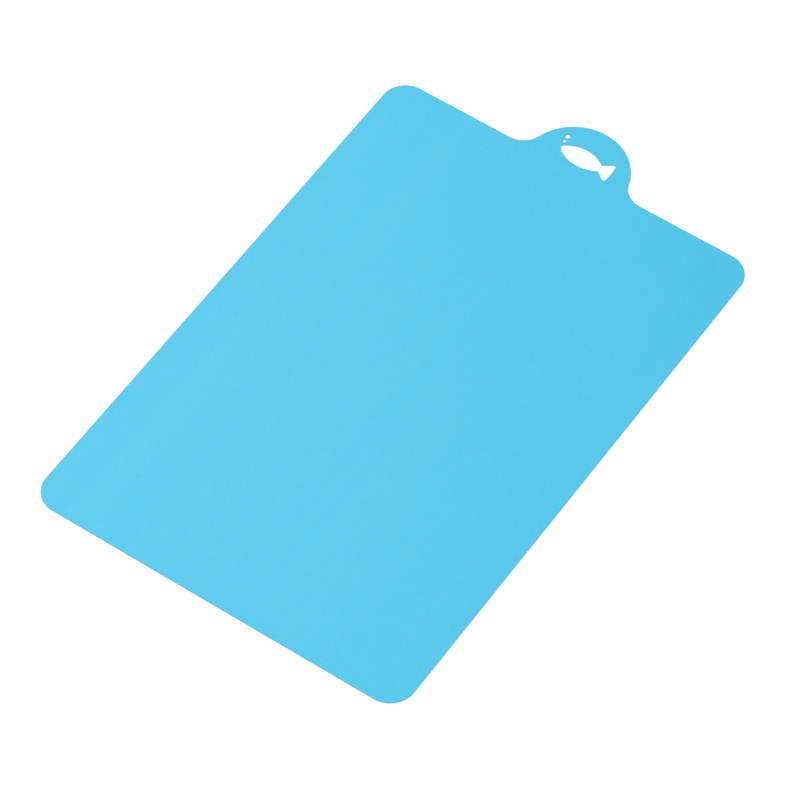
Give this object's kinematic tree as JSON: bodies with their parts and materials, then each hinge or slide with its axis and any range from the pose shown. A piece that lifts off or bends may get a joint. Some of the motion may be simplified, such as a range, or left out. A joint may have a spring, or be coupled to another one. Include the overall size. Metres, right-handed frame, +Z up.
{
  "type": "flexible cutting mat",
  "caption": "Thin flexible cutting mat with rounded corners and a round hanging tab with a fish-shaped hole; its long sides curl up to form a chute.",
  "frame": {"origin": "under the middle of the mat's outline, on its underside", "axes": "+Y along the mat towards the hanging tab, +Z up out of the cutting side, +X across to the side the fish's tail points to"},
  "size_m": [0.25, 0.4, 0.0005],
  "materials": {
    "mat_sheet": "matte"
  },
  "bodies": {
    "centre_panel": {"centre_panel": "mat_sheet"},
    "left_strip_1": {"left_strip_1": "mat_sheet"},
    "left_strip_2": {"left_strip_2": "mat_sheet"},
    "left_strip_3": {"left_strip_3": "mat_sheet"},
    "left_strip_4": {"left_strip_4": "mat_sheet"},
    "left_strip_5": {"left_strip_5": "mat_sheet"},
    "left_strip_6": {"left_strip_6": "mat_sheet"},
    "left_strip_7": {"left_strip_7": "mat_sheet"},
    "right_strip_1": {"right_strip_1": "mat_sheet"},
    "right_strip_2": {"right_strip_2": "mat_sheet"},
    "right_strip_3": {"right_strip_3": "mat_sheet"},
    "right_strip_4": {"right_strip_4": "mat_sheet"},
    "right_strip_5": {"right_strip_5": "mat_sheet"},
    "right_strip_6": {"right_strip_6": "mat_sheet"},
    "right_strip_7": {"right_strip_7": "mat_sheet"}
  },
  "joints": [
    {"name": "left_bend_1", "type": "hinge", "parent": "centre_panel", "child": "left_strip_1", "pos_m": [-0.027, 0, 0.00025], "axis": [0, 1, 0], "range_deg": [0, 21], "stiffness_Nm_per_rad": 0.35},
    {"name": "left_bend_2", "type": "hinge", "parent": "left_strip_1", "child": "left_strip_2", "pos_m": [-0.041, 0, 0.00025], "axis": [0, 1, 0], "range_deg": [0, 21], "stiffness_Nm_per_rad": 0.35},
    {"name": "left_bend_3", "type": "hinge", "parent": "left_strip_2", "child": "left_strip_3", "pos_m": [-0.055, 0, 0.00025], "axis": [0, 1, 0], "range_deg": [0, 21], "stiffness_Nm_per_rad": 0.35},
    {"name": "left_bend_4", "type": "hinge", "parent": "left_strip_3", "child": "left_strip_4", "pos_m": [-0.069, 0, 0.00025], "axis": [0, 1, 0], "range_deg": [0, 21], "stiffness_Nm_per_rad": 0.35},
    {"name": "left_bend_5", "type": "hinge", "parent": "left_strip_4", "child": "left_strip_5", "pos_m": [-0.083, 0, 0.00025], "axis": [0, 1, 0], "range_deg": [0, 21], "stiffness_Nm_per_rad": 0.35},
    {"name": "left_bend_6", "type": "hinge", "parent": "left_strip_5", "child": "left_strip_6", "pos_m": [-0.097, 0, 0.00025], "axis": [0, 1, 0], "range_deg": [0, 21], "stiffness_Nm_per_rad": 0.35},
    {"name": "left_bend_7", "type": "hinge", "parent": "left_strip_6", "child": "left_strip_7", "pos_m": [-0.111, 0, 0.00025], "axis": [0, 1, 0], "range_deg": [0, 21], "stiffness_Nm_per_rad": 0.35},
    {"name": "right_bend_1", "type": "hinge", "parent": "centre_panel", "child": "right_strip_1", "pos_m": [0.027, 0, 0.00025], "axis": [0, -1, 0], "range_deg": [0, 21], "stiffness_Nm_per_rad": 0.35},
    {"name": "right_bend_2", "type": "hinge", "parent": "right_strip_1", "child": "right_strip_2", "pos_m": [0.041, 0, 0.00025], "axis": [0, -1, 0], "range_deg": [0, 21], "stiffness_Nm_per_rad": 0.35},
    {"name": "right_bend_3", "type": "hinge", "parent": "right_strip_2", "child": "right_strip_3", "pos_m": [0.055, 0, 0.00025], "axis": [0, -1, 0], "range_deg": [0, 21], "stiffness_Nm_per_rad": 0.35},
    {"name": "right_bend_4", "type": "hinge", "parent": "right_strip_3", "child": "right_strip_4", "pos_m": [0.069, 0, 0.00025], "axis": [0, -1, 0], "range_deg": [0, 21], "stiffness_Nm_per_rad": 0.35},
    {"name": "right_bend_5", "type": "hinge", "parent": "right_strip_4", "child": "right_strip_5", "pos_m": [0.083, 0, 0.00025], "axis": [0, -1, 0], "range_deg": [0, 21], "stiffness_Nm_per_rad": 0.35},
    {"name": "right_bend_6", "type": "hinge", "parent": "right_strip_5", "child": "right_strip_6", "pos_m": [0.097, 0, 0.00025], "axis": [0, -1, 0], "range_deg": [0, 21], "stiffness_Nm_per_rad": 0.35},
    {"name": "right_bend_7", "type": "hinge", "parent": "right_strip_6", "child": "right_strip_7", "pos_m": [0.111, 0, 0.00025], "axis": [0, -1, 0], "range_deg": [0, 21], "stiffness_Nm_per_rad": 0.35}
  ],
  "couplings": [
    {"joint": "left_bend_2", "follows": "left_bend_1", "ratio": 1},
    {"joint": "left_bend_3", "follows": "left_bend_1", "ratio": 1},
    {"joint": "left_bend_4", "follows": "left_bend_1", "ratio": 1},
    {"joint": "left_bend_5", "follows": "left_bend_1", "ratio": 1},
    {"joint": "left_bend_6", "follows": "left_bend_1", "ratio": 1},
    {"joint": "left_bend_7", "follows": "left_bend_1", "ratio": 1},
    {"joint": "right_bend_2", "follows": "right_bend_1", "ratio": 1},
    {"joint": "right_bend_3", "follows": "right_bend_1", "ratio": 1},
    {"joint": "right_bend_4", "follows": "right_bend_1", "ratio": 1},
    {"joint": "right_bend_5", "follows": "right_bend_1", "ratio": 1},
    {"joint": "right_bend_6", "follows": "right_bend_1", "ratio": 1},
    {"joint": "right_bend_7", "follows": "right_bend_1", "ratio": 1}
  ]
}
